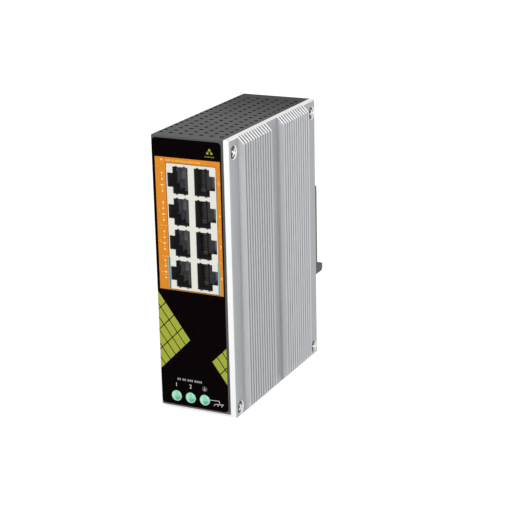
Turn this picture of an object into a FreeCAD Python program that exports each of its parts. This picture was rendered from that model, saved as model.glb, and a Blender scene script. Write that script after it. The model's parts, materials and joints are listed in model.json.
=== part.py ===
# Ethernet switch for a 35 mm rail: eight sockets, a finned side and a spring latch at the back.
# The pieces are drawn in the case's own corner frame, in millimetres: X runs from the plain side to the
# finned side, Y from the front to the rail and Z up. They are then moved so that the origin is where the
# rail seats: mid width of the case, on the rail's front plane, at the rail's mid height.
import FreeCAD, Part
import math
import os

Vector = FreeCAD.Vector

# Folded case
case_width = 34.6
case_depth = 89.7
case_height = 124.0
sheet = 1.0
bend_radius = 0.7
seat_gap = 0.15

# Round vents in the top, slots in the bottom
vent_radius = 0.95
vent_pitch_across = 4.88
vent_pitch_back = 4.7
vent_side_margin = 2.1
vent_end_margin = 5.4
vent_sides = 8
slot_vent_width = 2.0
slot_vent_length = 11.0
slot_vent_pitch = 7.0
slot_vent_count = 7
slot_vent_start = 30.0

# Finned side, an extrusion
fin_floor = 2.6
fin_height = 3.1
fin_thickness = 1.2
fin_pitch = 2.42
front_fins = 12
rear_fins = 12
front_strip_width = 7.9
rear_strip_width = 13.1
screw_strip_thickness = 2.9
sink_rear_gap = 1.2
strip_edge_radius = 1.5
sink_drop = 1.0

# Screws of the finned side
case_screw_radius = 1.5
case_screw_head_radius = 2.5
case_screw_head_height = 1.6
screw_well_ease = 0.6
screw_well_depth = 1.5
screw_clearance = 0.2
thread_clearance = 0.05
screw_from_edge = 3.95
screw_from_top = 5.8
screw_from_bottom = 2.9
ear_width = 7.0
ear_height = 8.5
screw_past_ear = 2.0
head_side_share = 0.5
head_top_share = 0.68
recess_reach_share = 0.5
recess_arm_share = 0.13
recess_share = 0.6

# How far a cutting solid runs past what it cuts, and how many flats stand for a round
past = 1.0
seen_sides = 16
hidden_sides = 8
inner_sides = 6

# Sockets, two columns back to back
port_rows = 4
port_pitch = 13.97
port_opening = 11.7
port_width = 7.1
port_depth = 13.0
latch_notch_width = 6.0
latch_notch_depth = 2.6
column_gap = 3.2
first_port_from_top = 19.2
jack_right_margin = 3.8
jack_width = 23.7
jack_depth = 25.0
jack_border = 0.25
jack_proud = 0.3
shield_sheet = 0.25
shield_ease = 0.1
tooth_width = 1.1
tooth_depth = 0.4
tooth_spacing = 3.9
contacts_per_port = 8
contact_pitch = 1.02
contact_width = 0.45
contact_thickness = 0.3
contact_reach = 1.9
contact_front = 3.2
contact_back_wall = 0.5

# Front label and its two fields of ink
label_film = 0.25
label_left = 0.5
label_right_margin = 1.15
label_top_margin = 1.2
label_bottom_margin = 1.1
label_corner = 1.8
label_window_gap = 0.1
ink = 0.04
field_left = 1.8
field_right_margin = 1.7
field_top_from_top = 9.4
field_below_jack = 0.5
diamond_along = 6.7
diamond_across = 3.7
diamond_line = 0.45
diamond_fall_angle = 54.2
diamond_back_angle = 45.0
left_diamond_apex = 91.35
left_diamond_reach = 15.5
right_diamond_apex = 99.8
right_diamond_reach = 7.4

# Status lights
light_share = 0.656
light_from_top = 20.5
light_group_pitch = 13.03
light_groups = 4
lights_per_group = 4
light_spacing = 2.65
light_slot_width = 1.6
power_light_from_top = 10.6
guide_length = 6.0
guide_ease = 0.1
light_body = 0.8
light_board_sheet = 1.0

# Mains terminals at the foot of the front
poles = 3
pole_pitch = 7.04
first_pole = 7.95
pole_height = 5.4
cap_radius = 2.45
cap_dome = 0.55
cap_ease = 0.2
terminal_depth = 12.0
terminal_height = 11.0
terminal_wall = 0.9
wire_width = 4.7
wire_front = 6.0
wire_depth = 4.4
wire_top = 8.6
terminal_screw_radius = 1.5
terminal_head_radius = 2.1
terminal_head_height = 1.6
clamp_sheet = 0.8

# Boards
board = 1.6
board_front = 3.0
board_rear_margin = 5.0
board_end_margin = 3.5
board_split = 49.0
board_split_gap = 2.5
post_radius = 2.5
post_hole = 1.35
board_screw_radius = 1.2
board_screw_head_radius = 2.2
board_screw_head_height = 1.4
board_screw_bite = 1.6
post_inset = 6.0
front_post_y = 11.0

# Parts on the main board
chip = 1.5
switch_chip_side = 16.0
switch_chip_y = 52.0
switch_chip_from_top = 38.0
power_chip_side = 9.0
power_chip_y = 18.0
power_chip_spacing = 30.0
magnetics_length = 12.0
magnetics_depth = 9.0
magnetics_height = 6.0
magnetics_gap = 3.0

# Parts on the power board
core_width = 22.0
core_height = 20.0
core_depth = 16.0
core_yoke = 4.0
core_y = 50.0
core_z = 24.0
bobbin_ease = 0.2
bulk_radius = 6.2
bulk_length = 24.0
bulk_y = 32.0
bulk_z = 32.0
output_radius = 4.5
output_length = 16.0
output_y = 71.0
output_spacing = 12.0
output_z = 12.0
choke_outer = 7.0
choke_inner = 3.0
choke_length = 9.0
choke_y = 30.0
choke_z = 14.0
choke_stand = 1.5
fuse_radius = 2.2
fuse_length = 9.0
fuse_y = 18.5
fuse_z = 32.0
rectifier_length = 10.5
rectifier_thickness = 3.6
rectifier_height = 10.0
rectifier_y = 17.0
rectifier_z = 20.0
transistor_side = 9.0
transistor_thickness = 1.6
transistor_y = 64.0
transistor_z = 30.0
link_length = 13.0
link_width = 5.0
link_height = 9.0
link_y = 60.0
insulation = 0.3

# Rail clip
rail_height = 35.0
rail_lip = 1.5
rail_centre = 57.0
rail_ease = 0.4
clip_side_margin = 1.1
hook_side_margin = 4.2
clip_base = 9.0
hook_thickness = 4.5
hook_overlap = 3.0
hook_crown = 5.0
clip_foot = 4.2
clip_corner = 1.5
cheek_corner = 0.8
latch_width = 20.0
latch_ease = 0.25
latch_travel = 4.0
latch_plate = 6.2
latch_plate_top = 62.0
latch_drop = 9.0
latch_hook_release = 1.0
latch_hook_root = 4.0
spring_outer = 2.6
spring_wire = 0.8
spring_turns = 4.5
turns_in_steps = 10
spring_window_ease = 0.4
spring_end_ease = 0.1
spring_spare = 2.1
boss_top = 47.0
boss_height = 2.6
driver_slot_width = 6.0
driver_slot_height = 2.0
clip_screw_radius = 1.5
clip_screw_head_radius = 2.7
clip_screw_head_height = 1.8
clip_screw_bite = 2.0
clip_screw_spacing = 16.0
clip_screw_drop = 5.5

# Places that several pieces share
sink_face = case_width
strip_face = case_width + screw_strip_thickness
sink_rear = case_depth - sink_rear_gap
screw_seat = strip_face - screw_well_depth
jack_right = case_width - jack_right_margin
jack_left = jack_right - jack_width
jack_centre = (jack_left + jack_right) / 2
light_column = sheet + light_share * (jack_left - sheet)
jack_height = port_rows * port_pitch + 2 * jack_border
jack_top = case_height - first_port_from_top + port_pitch / 2 + jack_border
jack_bottom = jack_top - jack_height
port_levels = [case_height - first_port_from_top - row * port_pitch for row in range(port_rows)]
board_left = jack_right
board_right = board_left + board
board_rear = case_depth - board_rear_margin
post_height = sink_face - board_right
rail_low = rail_centre - rail_height / 2
rail_high = rail_centre + rail_height / 2
rail_plane = case_depth + clip_base
hook_front = rail_plane + rail_lip
hook_back = hook_front + hook_thickness
clip_middle = case_width / 2
latch_hook_rise = latch_travel - latch_hook_release
spring_top = boss_top + (spring_turns + 1) * spring_wire + latch_travel + spring_spare
pole_places = [first_pole + pole * pole_pitch for pole in range(poles)]
terminal_left = first_pole - pole_pitch / 2
terminal_right = terminal_left + poles * pole_pitch
screw_levels = [screw_from_bottom, case_height - screw_from_top]
screw_rows = [screw_from_edge, sink_rear - screw_from_edge]
light_levels = [case_height - light_from_top - group * light_group_pitch for group in range(light_groups)]
power_light = case_height - power_light_from_top
switch_chip_z = case_height - switch_chip_from_top
origin = Vector(clip_middle, rail_plane, rail_centre)


X_WAY = (1, 0, 0)
Y_WAY = (0, 1, 0)


def spread(number, step, middle=0):
    """Places at equal steps on both sides of a middle."""
    first = middle - (number - 1) * step / 2
    return [first + place * step for place in range(number)]


def block(x, y, z):
    """A box between the two ends given for each axis."""
    size = [end - start for start, end in (x, y, z)]
    return Part.makeBox(*size, Vector(x[0], y[0], z[0]))


def rod(way, radius, start, length, sides=0):
    """A bar from a point along a direction: round, or with flats that lie at the radius."""
    if not sides:
        return Part.makeCylinder(radius, length, Vector(*start), Vector(*way))
    return facing(regular(radius, sides, (0, 0, 0), length), way, start)


def prism(points, way):
    """A closed outline of points, pushed along a vector."""
    corners = [Vector(*point) for point in points]
    return Part.Face(Part.makePolygon(corners + corners[:1])).extrude(Vector(*way))


def ring_of(radius, sides, centre):
    """The corners of an equal-sided outline whose flats lie at the radius."""
    step = 2 * math.pi / sides
    reach = radius / math.cos(step / 2)
    turns = [step / 2 + side * step for side in range(sides)]
    return [Vector(centre[0] + reach * math.cos(turn), centre[1] + reach * math.sin(turn), centre[2])
            for turn in turns]


def regular(radius, sides, centre, height):
    """An upright bar with equal sides and flats that face the X and Y axes."""
    return prism(ring_of(radius, sides, centre), (0, 0, height))


def round_edges(shape, radius, wanted):
    """Round those edges of a shape whose middle point passes the test."""
    edges = [edge for edge in shape.Edges if wanted(edge.BoundBox.Center, edge)]
    return shape.makeFillet(radius, edges)


def along(edge, way):
    """Whether an edge is straight and runs along an axis."""
    size = (edge.BoundBox.XLength, edge.BoundBox.YLength, edge.BoundBox.ZLength)
    return size[way] > max(size[other] for other in range(len(size)) if other != way)


def cross_screw(radius, length, head_radius, head_height):
    """A pan head screw with a cross recess, head up, its seat at the origin."""
    side = head_height * head_side_share
    top = head_radius * head_top_share
    rings = [ring_of(head_radius, seen_sides, (0, 0, 0)), ring_of(head_radius, seen_sides, (0, 0, side)),
             ring_of(top, seen_sides, (0, 0, head_height))]
    head = Part.makeLoft([Part.makePolygon(ring + ring[:1]) for ring in rings], True, True)
    shank = regular(radius, hidden_sides, (0, 0, -length), length)
    half = head_radius * recess_reach_share
    arm = head_radius * recess_arm_share
    depth = (head_height * (1 - recess_share), head_height)
    recess = block((-half, half), (-arm, arm), depth).fuse(block((-arm, arm), (-half, half), depth))
    return head.fuse(shank).cut(recess).removeSplitter()


def facing(shape, way, place):
    """Turn a shape that points up so that it points another way, and set it in its place."""
    turned = shape.copy()
    turned.Placement = FreeCAD.Placement(Vector(*place), FreeCAD.Rotation(Vector(0, 0, 1), Vector(*way)))
    return turned


def each_port():
    """The sockets in the order of their numbers: side of the column, mid height."""
    return [(side, level) for side in (-1, 1) for level in port_levels]


def port_space(side, level, ease, start, depth):
    """The room in one socket: the plug's body and the notch for its latch."""
    inner = jack_centre + side * (column_gap / 2 - ease)
    outer = jack_centre + side * (column_gap / 2 + port_width + ease)
    notch = outer + side * latch_notch_depth
    half = port_opening / 2 + ease
    body = block(sorted((inner, outer)), (start, start + depth), (level - half, level + half))
    half = latch_notch_width / 2 + ease
    return body.fuse(block(sorted((outer, notch)), (start, start + depth), (level - half, level + half)))


def light_slots(ease, y):
    """The slots in front of the status lights, or the guides that fill them."""
    half = light_slot_width / 2 - ease
    tall = (lights_per_group - 1) * light_spacing / 2 + half
    across = (light_column - half, light_column + half)
    slots = [block(across, y, (level - tall, level + tall)) for level in light_levels]
    return slots + [block(across, y, (power_light - half, power_light + half))]


def vents():
    """Punched holes, as many as fit on the top between its margins."""
    base = case_height - 2 * sheet
    holes = []
    x = vent_side_margin
    while x < case_width - vent_side_margin:
        y = vent_end_margin
        while y < case_depth - vent_end_margin:
            holes.append(regular(vent_radius, vent_sides, (x, y, base), 3 * sheet))
            y += vent_pitch_back
        x += vent_pitch_across
    return holes


def bottom_slots():
    """Two rows of slots that let air in from below."""
    end = slot_vent_width / 2
    slots = []
    for middle in (case_width / 4, case_width * 3 / 4):
        for place in range(slot_vent_count):
            y = slot_vent_start + place * slot_vent_pitch
            half = min(slot_vent_length, case_width / 2 - 4 * sheet) / 2 - end
            slots.append(block((middle - half, middle + half), (y - end, y + end), (-sheet, 2 * sheet)))
    return slots


def make_housing():
    """One folded sheet: plain side, front, back, top and bottom, with an ear for each case screw."""
    outside = block((0, case_width), (0, case_depth), (0, case_height))
    outside = round_edges(outside, bend_radius, lambda middle, edge: middle.x < case_width - bend_radius)
    inside = block((sheet, case_width + sheet), (sheet, case_depth - sheet), (sheet, case_height - sheet))
    tray = outside.cut(inside)
    ears = []
    for row, back in ((0, 1), (1, -1)):
        for level, down in ((0, 1), (1, -1)):
            edge_y = sheet / 2 if row == 0 else case_depth - sheet / 2
            edge_z = sheet / 2 if level == 0 else case_height - sheet / 2
            ears.append(block((case_width - sheet, case_width), sorted((edge_y, edge_y + back * ear_width)),
                              sorted((edge_z, edge_z + down * (ear_height + sheet / 2)))))
    tray = tray.fuse(ears)
    window = block((jack_left - seat_gap, jack_right + seat_gap), (-sheet, 2 * sheet),
                   (jack_bottom - seat_gap, jack_top + seat_gap))
    wire_slot = block((pole_places[0] - wire_width / 2, pole_places[-1] + wire_width / 2),
                      (wire_front, wire_front + wire_depth), (-sheet, 2 * sheet))
    tools = [window, wire_slot] + light_slots(0, (-sheet, 2 * sheet)) + vents() + bottom_slots()
    for x in pole_places:
        tools.append(rod(Y_WAY, cap_radius + cap_ease, (x, -sheet, pole_height), 3 * sheet, hidden_sides))
    for y in screw_rows:
        for z in screw_levels:
            tools.append(rod(X_WAY, case_screw_radius + thread_clearance,
                             (case_width - 2 * sheet, y, z), 3 * sheet, hidden_sides))
    for x, z in clip_screw_places():
        tools.append(rod(Y_WAY, clip_screw_radius + thread_clearance,
                         (x, case_depth - 2 * sheet, z), 3 * sheet, hidden_sides))
    return tray.cut(tools).removeSplitter()


def fin_starts():
    """Where each fin begins along Y: the front group, then the rear group, which ends at the rear strip."""
    front = [front_strip_width + fin * fin_pitch for fin in range(front_fins)]
    last = sink_rear - rear_strip_width - fin_thickness
    return front + [last - fin * fin_pitch for fin in reversed(range(rear_fins))]


def make_heat_sink():
    """An extruded plate with upright fins, chamfered at both ends, and two plain strips for its screws."""
    floor, tip = sink_face + fin_floor, sink_face + fin_floor + fin_height
    low, tall = -sink_drop, case_height + sink_drop
    plate = block((sink_face, floor), (0, sink_rear), (low, case_height))
    strips = []
    for edge, inner in ((0, front_strip_width), (sink_rear, sink_rear - rear_strip_width)):
        strip = block((sink_face, strip_face), sorted((edge, inner)), (low, case_height))
        strips.append(round_edges(strip, strip_edge_radius, lambda middle, line: along(line, 2)
                                  and middle.isEqual(Vector(strip_face, edge, middle.z), seat_gap)))
    fins = [block((sink_face, tip), (y, y + fin_thickness), (low, case_height)) for y in fin_starts()]
    sink = plate.fuse(strips + fins)
    beyond = tip + fin_height
    top_cut = prism([(floor, 0, case_height), (beyond, 0, case_height),
                     (beyond, 0, case_height - 2 * fin_height)], (0, case_depth, 0))
    foot_cut = prism([(floor, 0, low), (beyond, 0, low), (beyond, 0, low + 2 * fin_height)], (0, case_depth, 0))
    holes = [rod(X_WAY, case_screw_radius + screw_clearance, (sink_face - sheet, y, z), strip_face,
                 hidden_sides) for y in screw_rows for z in screw_levels]
    holes += [rod(X_WAY, case_screw_head_radius + screw_well_ease, (screw_seat, y, z), strip_face,
                  seen_sides) for y in screw_rows for z in screw_levels]
    holes += [rod(X_WAY, board_screw_radius + thread_clearance, (sink_face - sheet, y, z),
                  sheet + board_screw_bite + thread_clearance, hidden_sides) for y, z in post_places()]
    return sink.cut([top_cut, foot_cut] + holes).removeSplitter()


def make_heat_sink_screws():
    """Four pan head screws, sunk in wells of the plain strips and screwed into the ears of the case."""
    length = screw_seat - sink_face + screw_past_ear
    screw = cross_screw(case_screw_radius, length, case_screw_head_radius, case_screw_head_height)
    return Part.makeCompound([facing(screw, X_WAY, (screw_seat, y, z))
                              for y in screw_rows for z in screw_levels])


def make_front_label():
    """A printed film with round corners, a window for the sockets and a hole for each terminal."""
    x = (label_left, case_width - label_right_margin)
    z = (label_bottom_margin, case_height - label_top_margin)
    film = block(x, (-label_film, 0), z)
    film = round_edges(film, label_corner, lambda middle, edge: along(edge, 1))
    gap = seat_gap + label_window_gap
    window = block((jack_left - gap, jack_right + gap), (-2 * label_film, label_film),
                   (jack_bottom - gap, jack_top + gap))
    holes = [rod(Y_WAY, cap_radius + cap_ease, (x, -2 * label_film, pole_height), 3 * label_film, seen_sides)
             for x in pole_places]
    return film.cut([window] + holes)


def make_label_orange_field():
    """The field of ink that frames the sockets."""
    gap = seat_gap + label_window_gap
    field = block((field_left, case_width - field_right_margin), (-label_film - ink, -label_film),
                  (jack_bottom - field_below_jack, case_height - field_top_from_top))
    return field.cut(block((jack_left - gap, jack_right + gap), (-2 * label_film, 0),
                           (jack_bottom - gap, jack_top + gap)))


def diamond_grid(apex, way, along_count, across_count):
    """Slanted cells of ink with a dark line left between them, from an apex towards the left or the right."""
    fall, back = math.radians(diamond_fall_angle), math.radians(diamond_back_angle)
    along_step = (way * math.cos(fall) * diamond_along, -way * math.sin(fall) * diamond_along)
    across_step = (way * math.cos(back) * diamond_across, way * math.sin(back) * diamond_across)
    along_ends = (diamond_line / 2 / diamond_along, 1 - diamond_line / 2 / diamond_along)
    across_ends = (diamond_line / 2 / diamond_across, 1 - diamond_line / 2 / diamond_across)
    cells = []
    for row in range(along_count):
        for column in range(across_count):
            ring = []
            for u, w in ((0, 0), (1, 0), (1, 1), (0, 1)):
                a = row + along_ends[u]
                b = column + across_ends[w]
                ring.append((apex[0] + a * along_step[0] + b * across_step[0], -label_film - ink,
                             apex[1] + a * along_step[1] + b * across_step[1]))
            cells.append(prism(ring, (0, ink, 0)))
    return cells


def diamond_wedge(apex, way, reach):
    """As many cells as it takes to run from an apex to the label's edge."""
    along_count = math.ceil(reach / (diamond_along * math.cos(math.radians(diamond_fall_angle))))
    across_count = math.ceil(reach / (diamond_across * math.cos(math.radians(diamond_back_angle))))
    return diamond_grid(apex, way, along_count, across_count)


def make_label_diamond_fields():
    """Two wedges of slanted cells that run in from the label's edges, the right one turned by half a turn."""
    right_edge = case_width - label_right_margin
    cells = diamond_wedge((label_left + left_diamond_reach, case_height - left_diamond_apex), -1,
                          left_diamond_reach)
    cells += diamond_wedge((right_edge - right_diamond_reach, case_height - right_diamond_apex), 1,
                           right_diamond_reach)
    film = block((label_left, right_edge), (-label_film - ink, -label_film),
                 (label_bottom_margin + diamond_line, jack_bottom - field_below_jack - diamond_line))
    cells = [cell.common(film) for cell in cells]
    return Part.makeCompound([cell for cell in cells if cell.Volume > ink * diamond_line ** 2])


def make_jack_shield():
    """A bright sheet can round the sockets, open at the back, with small teeth at each mouth."""
    x, z = (jack_left, jack_right), (jack_bottom, jack_top)
    can = block(x, (-jack_proud, jack_depth), z)
    room = block((x[0] + shield_sheet, x[1] - shield_sheet), (shield_sheet - jack_proud, jack_depth + sheet),
                 (z[0] + shield_sheet, z[1] - shield_sheet))
    can = can.cut(room)
    mouths = []
    for side, level in each_port():
        mouths.append(port_space(side, level, shield_ease, -jack_proud - sheet, 2 * sheet))
        middle = jack_centre + side * (column_gap + port_width) / 2
        for offset in (-tooth_spacing / 2, tooth_spacing / 2):
            half = port_opening / 2 + shield_ease + tooth_depth
            mouths.append(block((middle + offset - tooth_width / 2, middle + offset + tooth_width / 2),
                                (-jack_proud - sheet, sheet), (level - half, level + half)))
    return can.cut(mouths).removeSplitter()


def make_jack_housing():
    """The black moulding inside the shield, with a socket for each plug."""
    ease = shield_sheet + shield_ease
    body = block((jack_left + ease, jack_right - ease), (shield_sheet - jack_proud, jack_depth),
                 (jack_bottom + ease, jack_top - ease))
    return body.cut([port_space(side, level, 0, shield_sheet - jack_proud - sheet, port_depth + sheet)
                     for side, level in each_port()])


def make_port_contacts(side, level):
    """Eight sprung strips that rise from the inner wall of a socket and fold down at its back."""
    wall = jack_centre + side * column_gap / 2
    back = shield_sheet - jack_proud + port_depth
    reach, thick = side * contact_reach, side * contact_thickness
    strips = []
    for z in spread(contacts_per_port, contact_pitch, level - contact_width / 2):
        strips.append(prism([(wall, contact_front, z), (wall + reach, back - contact_back_wall, z),
                             (wall + reach, back, z), (wall + reach - thick, back, z),
                             (wall, contact_front + contact_thickness * 3, z)], (0, 0, contact_width)))
    return Part.makeCompound(strips)


def make_light_guides():
    """Clear bars that fill the slots behind the label, on one rail that the light board is pressed to."""
    bars = light_slots(guide_ease, (0, guide_length))
    half = light_slot_width / 2 - guide_ease
    low = light_levels[-1] - (lights_per_group - 1) * light_spacing / 2
    spine = block((light_column - half, light_column + half), (sheet + seat_gap, guide_length / 2),
                  (low, power_light))
    return bars[0].fuse(bars[1:] + [spine]).removeSplitter()


def make_status_lights():
    """A small light behind each printed dot."""
    levels = [z for level in light_levels for z in spread(lights_per_group, light_spacing, level)]
    half = light_body / 2
    return Part.makeCompound([block((light_column - half, light_column + half),
                                    (guide_length, guide_length + light_body), (z - half, z + half))
                              for z in levels + [power_light]])


def make_light_board():
    """The strip of board that carries the status lights."""
    start = guide_length + light_body
    low = light_levels[-1] - lights_per_group * light_spacing
    return block((sheet + seat_gap, jack_left), (start, start + light_board_sheet),
                 (low, power_light + light_spacing))


def make_board(low, high):
    """One circuit board, drilled for its screws."""
    slab = block((board_left, board_right), (board_front, board_rear), (low, high))
    holes = [rod(X_WAY, board_screw_radius + screw_clearance, (board_left - board, y, z), 3 * board,
                 hidden_sides) for y, z in post_places() if low < z < high]
    return slab.cut(holes)


def board_spans():
    """The heights that the two boards cover: power board below, main board above."""
    return ((board_end_margin, board_split - board_split_gap),
            (board_split, case_height - board_end_margin))


def post_places():
    """Three screws in each board: two at the rear and one near the front."""
    places = []
    for low, high in board_spans():
        places += [(board_rear - post_inset, low + post_inset), (board_rear - post_inset, high - post_inset),
                   (front_post_y, high - post_inset)]
    return places


def make_board_posts():
    """Hexagonal spacers between the boards and the finned plate."""
    return Part.makeCompound([rod(X_WAY, post_radius, (board_right, y, z), post_height, inner_sides).cut(
        rod(X_WAY, post_hole, (board_right - board, y, z), post_height + 2 * board, inner_sides))
        for y, z in post_places()])


def make_board_screws():
    """Screws from the board side, through the spacers, into blind holes in the finned plate."""
    length = board + post_height + board_screw_bite
    screw = regular(board_screw_radius, hidden_sides, (0, 0, -length), length).fuse(
        regular(board_screw_head_radius, hidden_sides, (0, 0, 0), board_screw_head_height))
    return Part.makeCompound([facing(screw, (-1, 0, 0), (board_left, y, z)) for y, z in post_places()])


def square_on_sink_side(side, y, z, start, thickness):
    """A flat square part that faces the finned plate."""
    half = side / 2
    return block((start, start + thickness), (y - half, y + half), (z - half, z + half))


def power_chip_levels():
    """Mid heights of the two chips that feed power to the sockets."""
    return [switch_chip_z - power_chip_spacing / 2, switch_chip_z + power_chip_spacing / 2]


def make_switch_chip():
    """The switch's main chip."""
    return square_on_sink_side(switch_chip_side, switch_chip_y, switch_chip_z, board_right, chip)


def make_switch_chip_pad():
    """The soft pad that takes the chip's heat to the fins."""
    start = board_right + chip
    return square_on_sink_side(switch_chip_side, switch_chip_y, switch_chip_z, start, sink_face - start)


def make_power_chips():
    """Two chips that feed power to the sockets."""
    return Part.makeCompound([square_on_sink_side(power_chip_side, power_chip_y, z, board_right, chip)
                              for z in power_chip_levels()])


def make_power_chip_pads():
    """A soft pad for each of those chips."""
    start = board_right + chip
    return Part.makeCompound([square_on_sink_side(power_chip_side, power_chip_y, z, start, sink_face - start)
                              for z in power_chip_levels()])


def make_line_transformers():
    """A potted block of small transformers behind each row of sockets."""
    start = jack_depth + magnetics_gap
    half = magnetics_length / 2
    return Part.makeCompound([block((board_left - magnetics_height, board_left),
                                    (start, start + magnetics_depth), (z - half, z + half))
                              for z in port_levels])


def make_transformer_core():
    """Two ferrite halves round the winding, drawn as one closed frame with a middle leg."""
    x = (board_left - core_depth, board_left)
    frame = block(x, (core_y - core_width / 2, core_y + core_width / 2),
                  (core_z - core_height / 2, core_z + core_height / 2))
    leg = core_yoke
    window = (core_width - 3 * leg) / 2
    inner_z = (core_z - core_height / 2 + core_yoke, core_z + core_height / 2 - core_yoke)
    gaps = [block((x[0] - past, x[1] + past), (y, y + window), inner_z)
            for y in (core_y - core_width / 2 + leg, core_y + leg / 2)]
    return frame.cut(gaps)


def make_transformer_winding():
    """The taped winding on the core's middle leg."""
    leg = core_yoke / 2 + bobbin_ease
    reach = core_width / 2 - core_yoke - bobbin_ease
    half = core_height / 2 - core_yoke - bobbin_ease
    face = board_left - core_depth
    coil = block((face - bobbin_ease - reach + leg, board_left - bobbin_ease),
                 (core_y - reach, core_y + reach), (core_z - half, core_z + half))
    coil = round_edges(coil, reach / 3, lambda middle, edge: along(edge, 2) and middle.x < face)
    return coil.cut(block((face - bobbin_ease, board_left + past), (core_y - leg, core_y + leg),
                          (core_z - core_height, core_z + core_height)))


def can(radius, length, y, z):
    """A capacitor can that stands on a board's inner face."""
    return rod(X_WAY, radius, (board_left - length, y, z), length, seen_sides)


def make_bulk_capacitor():
    """The mains capacitor."""
    return can(bulk_radius, bulk_length, bulk_y, bulk_z)


def make_output_capacitors():
    """Two capacitors on the low voltage side."""
    return Part.makeCompound([can(output_radius, output_length, output_y, output_z + place * output_spacing)
                              for place in range(2)])


def make_line_choke():
    """A ring core with its winding, on a low stand."""
    ring = can(choke_outer, choke_length, choke_y, choke_z).cut(
        can(choke_inner, choke_length - choke_stand, choke_y, choke_z).translated(Vector(-choke_stand, 0, 0)))
    return ring


def make_fuse():
    """The mains fuse in its sleeve."""
    return can(fuse_radius, fuse_length, fuse_y, fuse_z)


def make_rectifier():
    """The flat bridge rectifier, on its edge."""
    return block((board_left - rectifier_height, board_left),
                 (rectifier_y - rectifier_thickness / 2, rectifier_y + rectifier_thickness / 2),
                 (rectifier_z - rectifier_length / 2, rectifier_z + rectifier_length / 2))


def make_power_transistor():
    """The switching transistor, flat on the side that faces the fins."""
    return square_on_sink_side(transistor_side, transistor_y, transistor_z, board_right, transistor_thickness)


def make_transistor_pad():
    """The pad between the transistor and the finned plate."""
    start = board_right + transistor_thickness
    return square_on_sink_side(transistor_side, transistor_y, transistor_z, start, sink_face - start)


def make_board_link():
    """The connector that joins the two boards."""
    middle = board_split - board_split_gap / 2
    return block((board_left - link_width, board_left), (link_y, link_y + link_length),
                 (middle - link_height / 2, middle + link_height / 2))


def make_insulating_sheet():
    """A thin sheet that keeps the mains parts off the plain side."""
    low, high = board_spans()[0]
    return block((sheet, sheet + insulation), (terminal_depth + 2 * sheet, board_rear), (low, high))


def make_terminal_block():
    """The mains block: a screw well from the front and a wire entry from below for each pole."""
    y = (sheet, sheet + terminal_depth)
    body = block((terminal_left, board_left), y, (sheet, sheet + terminal_height))
    waist = block((terminal_right + terminal_wall, board_left + past),
                  (y[0] - past, y[1] - 4 * terminal_wall), (0, 2 * terminal_height))
    tools = [waist]
    for x in pole_places:
        tools.append(rod(Y_WAY, cap_radius + cap_ease / 2, (x, 0, pole_height), wire_front, hidden_sides))
        tools.append(block((x - wire_width / 2, x + wire_width / 2),
                           (wire_front - clamp_sheet, wire_front + wire_depth + clamp_sheet), (0, wire_top)))
    return body.cut(tools)


def make_terminal_clamps():
    """Two plates for each pole that close on the wire: one behind it and one that the screw pushes."""
    half, end = wire_width / 2 - seat_gap, wire_top - seat_gap
    front = wire_front - clamp_sheet
    back = wire_front + wire_depth
    plates = []
    for x in pole_places:
        across = (x - half, x + half)
        plates.append(block(across, (front, wire_front), (sheet, wire_top)))
        plates.append(block(across, (back, back + clamp_sheet), (sheet, wire_top)))
    return Part.makeCompound(plates)


def make_terminal_screws():
    """The clamping screws, behind the caps."""
    start = sheet + seat_gap
    screws = []
    for x in pole_places:
        head = rod(Y_WAY, terminal_head_radius, (x, start, pole_height), terminal_head_height, inner_sides)
        screws.append(head.fuse(rod(Y_WAY, terminal_screw_radius, (x, start, pole_height),
                                    wire_front - clamp_sheet - start, inner_sides)))
    return Part.makeCompound(screws)


def make_terminal_caps():
    """Domed green caps with a raised rim that close the screw wells."""
    front = -label_film
    caps = []
    for x in pole_places:
        body = rod(Y_WAY, cap_radius, (x, front, pole_height), sheet - front)
        sphere = (cap_radius ** 2 + cap_dome ** 2) / (2 * cap_dome)
        dome = Part.makeSphere(sphere, Vector(x, front + sphere - cap_dome, pole_height)).common(
            rod(Y_WAY, cap_radius, (x, front - cap_dome, pole_height), cap_dome))
        caps.append(body.fuse(dome).removeSplitter())
    return Part.makeCompound(caps)


def clip_screw_places():
    """Two screws near the clip's top."""
    z = rail_high + hook_crown - clip_screw_drop - clip_screw_head_radius
    return [(clip_middle - clip_screw_spacing / 2, z), (clip_middle + clip_screw_spacing / 2, z)]


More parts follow.
